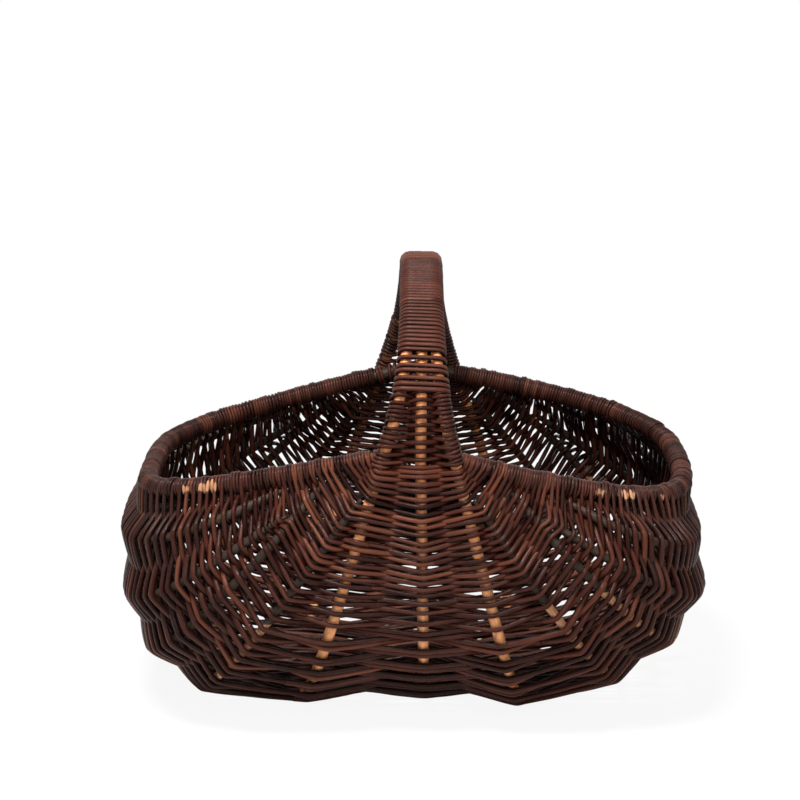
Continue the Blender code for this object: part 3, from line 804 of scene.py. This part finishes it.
rows, rowShare, crossings = bodyRows()
path, guide, marks = snake(rows)
metres = round(travelled(path)[-1], 1)
print("woven path:", metres, "m of willow in", len(rows), "rows,", len(path), "points")
radius = strandRadius(np.interp(marks[:, 0], np.arange(len(rows)), rowShare), marks[:, 2])
lumps = np.random.default_rng(weave["seed"] + 1).normal(0, 1, (len(path), 1))
lumps = softened(lumps, weave["lumpPoints"])[:, 0] * weave["lumpScale"]
radius = radius * (1 + weave["lumps"] * np.clip(lumps, -1.5, 2.0))
bare = np.zeros(len(path))  # full up to 0.85 of a scrape's reach, none past 1.9 of it
for rim, places in weave["scrapes"].items():
    for millimetres, reach in places:
        spot = at(lines[rim], millimetres / (2 * weave["alongRim"][-1]))
        spot = spot + weave["scrapeOut"] * unit((spot - middleOfBody) * [1, 1, 0])
        away = np.linalg.norm(path - spot, axis=1) * 1000
        bare = np.maximum(bare, np.clip(1.25 - 0.65 * away / reach, 0, weave["scrapeDepth"]))

panels = ["middle_weave_left", "middle_weave_right"]
panels += [f"{side}_weave_{number}" for side in ("left", "right") for number in (1, 2, 3, 4, 5)]
bands = ["weave_front_upper", "weave_front_lower", "weave_base_front", "weave_base_back",
         "weave_back_lower", "weave_back_upper"]
bandLook = {"length": weave["weaverLength"], "colour": 0.39, "variety": 0.19, "grey": 0.2}
parts = np.array_split(np.arange(len(path)), len(bands))
for index, (name, pick) in enumerate(zip(bands, parts)):
    surfaces, tones = weavers(path[pick], guide[pick], radius[pick], marks[pick, 1],
                              {**bandLook, "seed": weave["seed"] + 5 + index}, bare[pick])
    piece = meshOf(name, surfaces, tones, weaveBark)
    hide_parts(*panels, "rim_wrap_left", "rim_wrap_right")

# The last wraps of the rim, beside and between the long rods. Rim and bridge give the shares of the
# line between which it is wrapped.
endWraps = {"rim": [(0.0015, 0.0105), (0.9985, 0.9895)], "rimTurns": 2.0,
            "bridge": [(0.03, 0.42), (0.58, 0.97)], "bridgeTurns": 5.0, "seed": 40}


# A helix round the line: place + clearance * (cos(a) * away + sin(a) * up)
def wrapsRound(line, first, last, turns, seed):
    part = np.linspace(0, 1, int(turns * weave["pointsPerTurn"]) + 1)
    share = first + (last - first) * part
    ahead = at(directions(line), share)
    away = unit(np.cross(ahead, [0.0, 0.0, 1.0]))
    up = np.cross(away, ahead)
    angle = part * turns * math.tau - math.pi / 2
    clear = rimShape["radius"] + weave["rimStrand"] + weave["lift"]
    helix = at(line, share) + clear * (np.cos(angle)[:, None] * away + np.sin(angle)[:, None] * up)
    return weavers(helix, ahead, np.full(len(helix), weave["rimStrand"]), np.ones(len(helix)),
                   {**bandLook, "length": (1, 1), "seed": seed})


surfaces = []
tones = []
stretches = [(lines[rim], *shares, endWraps["rimTurns"]) for rim in ("rim_left", "rim_right")
             for shares in endWraps["rim"]]
stretches += [(evenly(bridge, 60), *shares, endWraps["bridgeTurns"]) for bridge in bridges
              for shares in endWraps["bridge"]]
for index, (line, first, last, turns) in enumerate(stretches):
    made, tone = wrapsRound(line, first, last, turns, endWraps["seed"] + index)
    surfaces += made
    tones += tone
piece = meshOf("rim_end_wraps", surfaces, tones, weaveBark)
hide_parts("rim_wrap_left", "rim_wrap_right")
print("weave done")

# The legs: rows round the three long rods only, from the rim up to the binding

legs = {"topHeight": 0.2570, "pitch": 0.0029, "strand": 0.00146,
        "crossingWander": 0.0010, "rowWander": 0.0015,
        "turnShift": 0.25,  # in rows: how far a row is moved where it enters or leaves a turn
        "seed": 31,
        "look": {"length": (0.35, 0.7), "colour": 0.36, "variety": 0.2, "grey": 0.1}, "lookSeed": 71}
bodyStart = {name: 1.5 * crossings[0, order.index(name)] - 0.5 * crossings[1, order.index(name)]
             for name in ("left", "centre", "right")}  # half a row before the body's first


# Each rod's line runs down the arch and on to the body's first row, and row k stands at the share
# (k + 0.5) / count of it, with a random stray. Every third turn at the left rod goes only half round.
def legRows(back):
    angle = np.linspace(archAngle(legs["topHeight"]), 0, 80)[:-1]
    if back:
        angle = math.pi - angle
    names = ["left", "centre", "right"]
    own = {}
    for n in names:
        share = np.linspace(0, bodyStart[n], 30)
        below = at(lines[n], 1 - share if back else share)
        own[n] = evenly(np.concatenate([archPoint(n, angle) + shift, below]), 120)
    count = int(travelled(own["centre"])[-1] / legs["pitch"])
    shares = (np.arange(count) + 0.5) / count
    rng = np.random.default_rng(legs["seed"] + back)
    rows = []
    for k in range(count):
        mine = shares[k] + rng.normal(0, legs["crossingWander"], 3) + rng.normal(0, legs["rowWander"])
        for rod, leaving in ((0, k % 2 == 1), (2, k % 2 == 0)):
            mine[rod] += (-legs["turnShift"] if leaving else legs["turnShift"]) / count
        mine = np.clip(mine, 0, 1)
        rows.append({
            "places": np.array([at(own[n], s) for n, s in zip(names, mine)]),
            "ahead": np.array([at(directions(own[n]), s) for n, s in zip(names, mine)]),
            "clear": np.full(3, rodShape["radius"]), "strand": np.full(3, legs["strand"]),
            "lines": [own[n] for n in names], "share": mine, "toRim": np.zeros(3),
            "side": np.array([1.0, -1.0, 1.0]) * (1 if k % 2 else -1),
            "turns": 0.5 if k % 6 == 1 else 1.5, "loose": 0.0})
    return rows


for back, name in ((False, "leg_weave_front"), (True, "leg_weave_back")):
    path, guide, marks = snake(legRows(back))
    surfaces, tones = weavers(path, guide, np.full(len(path), legs["strand"]), marks[:, 1],
                              {**legs["look"], "seed": legs["lookSeed"] + back})
    piece = meshOf(name, surfaces, tones, weaveBark)
    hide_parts("middle_weave_left", "middle_weave_right")
print("legs done")

# The grip: one willow rod wound closely round the three long rods

grip = {"turns": 83, "fromHeight": 0.2555, "strand": 0.00172, "lift": 0.0001, "pointsPerTurn": 24,
        # turns after which the binding leaves a gap, and how many turns wide it is
        "gaps": [(1.82, 0.15), (2.82, 0.5), (4.82, 0.65), (5.82, 0.75), (11.82, 0.12),
                 (70.8, 0.2), (75.8, 0.5), (78.8, 0.4)], "gapBlend": 0.1,
        "look": {"length": (0.4, 1.0), "colour": 0.49, "variety": 0.16, "grey": 0.0, "seed": 91}}


# Place on turn = middle of the grip + s on the outline of the three rods, a straight run between
# two half circles: x = +-spacing + r * cos(a), height = r * sin(a)
def gripPath():
    low = archAngle(grip["fromHeight"])
    angles = np.linspace(low, math.pi - low, 800)
    far = travelled(archPoint("centre", angles))
    count = grip["turns"] * grip["pointsPerTurn"] + 1
    turned = np.arange(count) / grip["pointsPerTurn"]
    along = turned + sum(wide * (1 + np.tanh((turned - place) / grip["gapBlend"])) / 2
                         for place, wide in grip["gaps"])
    along = far[-1] * along / along[-1]
    bow = np.interp(along, far, angles)
    middle = archPoint("centre", bow)
    spacing = archPoint("right", bow)[:, 0] - middle[:, 0]
    radius = rodShape["radius"] + grip["strand"] + grip["lift"]
    curve = math.pi * radius
    total = 2 * curve + 4 * spacing
    s = (turned % 1.0) * total
    # four stretches: right half circle, top run, left half circle, under run
    a = np.clip(s / curve, 0, 1) * math.pi - math.pi / 2
    run = np.clip(s - curve, 0, 2 * spacing)
    b = np.clip((s - curve - 2 * spacing) / curve, 0, 1) * math.pi
    back = np.clip(s - 2 * curve - 2 * spacing, 0, 2 * spacing)
    x = spacing - run + back + radius * (np.where(b > 0, np.cos(b + math.pi / 2), np.cos(a)))
    y = radius * np.where(b > 0, np.sin(b + math.pi / 2), np.sin(a))
    tangent = unit(np.stack([0 * bow, rodY * np.sin(bow), archRise * np.cos(bow)], axis=1))
    over = np.stack([0 * bow, -tangent[:, 2], tangent[:, 1]], axis=1)
    path = middle + np.array([1.0, 0, 0]) * x[:, None] + over * y[:, None]
    return path + shift, tangent


path, guide = gripPath()
surfaces, tones = weavers(path, guide, np.full(len(path), grip["strand"]), np.zeros(len(path)),
                          grip["look"])
piece = meshOf("grip_binding", surfaces, tones, bindingBark)
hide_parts("handle_binding")
print("grip done")

studio = {"cameraPlace": (-0.0127 + shift[0], -2.200, 0.7198), "cameraTilt": 77.15, "lens": 132.0,
          "worldLight": 0.06, "aim": (0, 0, 0.15),
          # where each lamp hangs, its size and its power
          "key": ((-0.45, -0.85, 2.3), (0.7, 0.6), 108.0),
          "fill": ((0.5, -2.2, 1.5), (0.9, 0.9), 30.0),
          "floorColour": 0.80, "floorRoughness": 0.9, "floorGloss": 0.1,
          # the share of plain white in what the camera sees of the floor, at a distance of 1 / 2 m
          "floorWhite": [(0.10, (0.91, 0.91, 0.91)), (0.32, (1.0, 1.0, 1.0))]}


# The camera sees plain white with a share of the lit floor in it, which keeps the soft shadow near
# the basket
def floorMaterial():
    material, tree, shader = nodesOf("pale_floor")
    shader.inputs["Base Color"].default_value = (*[studio["floorColour"]] * 3, 1)
    shader.inputs["Roughness"].default_value = studio["floorRoughness"]
    shader.inputs["Specular IOR Level"].default_value = studio["floorGloss"]
    far = tree.nodes.new("ShaderNodeVectorMath")
    far.operation = "LENGTH"
    tree.links.new(tree.nodes.new("ShaderNodeTexCoord").outputs["Object"], far.inputs[0])
    whiter = ramp(tree, mathNode(tree, "MULTIPLY", far.outputs["Value"], 0.5), studio["floorWhite"])
    white = tree.nodes.new("ShaderNodeEmission")
    white.inputs["Strength"].default_value = 1.0
    mix = tree.nodes.new("ShaderNodeMixShader")
    rays = tree.nodes.new("ShaderNodeLightPath")
    tree.links.new(mathNode(tree, "MULTIPLY", rays.outputs["Is Camera Ray"], whiter), mix.inputs[0])
    tree.links.new(shader.outputs[0], mix.inputs[1])
    tree.links.new(white.outputs[0], mix.inputs[2])
    tree.links.new(mix.outputs[0], tree.nodes["Material Output"].inputs["Surface"])
    return material


floorMesh = bpy.data.meshes.new("floor")
floorMesh.from_pydata([(-9, -9, 0), (9, -9, 0), (9, 9, 0), (-9, 9, 0)], [], [(0, 1, 2, 3)])
floorMesh.materials.append(floorMaterial())
floor = bpy.data.objects.new("floor", floorMesh)
bpy.context.scene.collection.objects.link(floor)

world = bpy.data.worlds.new("studio")
bpy.context.scene.world = world
world.use_nodes = True
tree = world.node_tree
rays = tree.nodes.new("ShaderNodeLightPath")
shown = mathNode(tree, "MAXIMUM", rays.outputs["Is Glossy Ray"], rays.outputs["Is Transmission Ray"])
shown = mathNode(tree, "MAXIMUM", rays.outputs["Is Camera Ray"], shown)
strength = mathNode(tree, "ADD", studio["worldLight"],
                    mathNode(tree, "MULTIPLY", shown, 1.0 - studio["worldLight"]))
background = tree.nodes["Background"]
tree.links.new(strength, background.inputs["Strength"])
background.inputs["Color"].default_value = (1, 1, 1, 1)


# A lamp turned so that its light runs straight at the aim: tilt = acos(-ahead z), heading = atan2
def softLight(name):
    place, size, power = studio[name]
    data = bpy.data.lights.new(name, "AREA")
    data.energy = power
    data.shape = "RECTANGLE"
    data.size, data.size_y = size
    lamp = bpy.data.objects.new(name, data)
    bpy.context.scene.collection.objects.link(lamp)
    ahead = unit(np.array(studio["aim"], float) - np.array(place, float))
    lamp.location = place
    lamp.rotation_euler = (math.acos(-ahead[2]), 0, math.atan2(ahead[0], -ahead[1]) + math.pi)


softLight("key")
softLight("fill")

camera = bpy.data.objects.new("camera", bpy.data.cameras.new("camera"))
bpy.context.scene.collection.objects.link(camera)
camera.location = studio["cameraPlace"]
camera.rotation_euler = (math.radians(studio["cameraTilt"]), 0, 0)
camera.data.lens = studio["lens"]
camera.data.sensor_width = 36.0
bpy.context.scene.camera = camera
bpy.context.scene.view_settings.view_transform = "Standard"

print("scene ready")
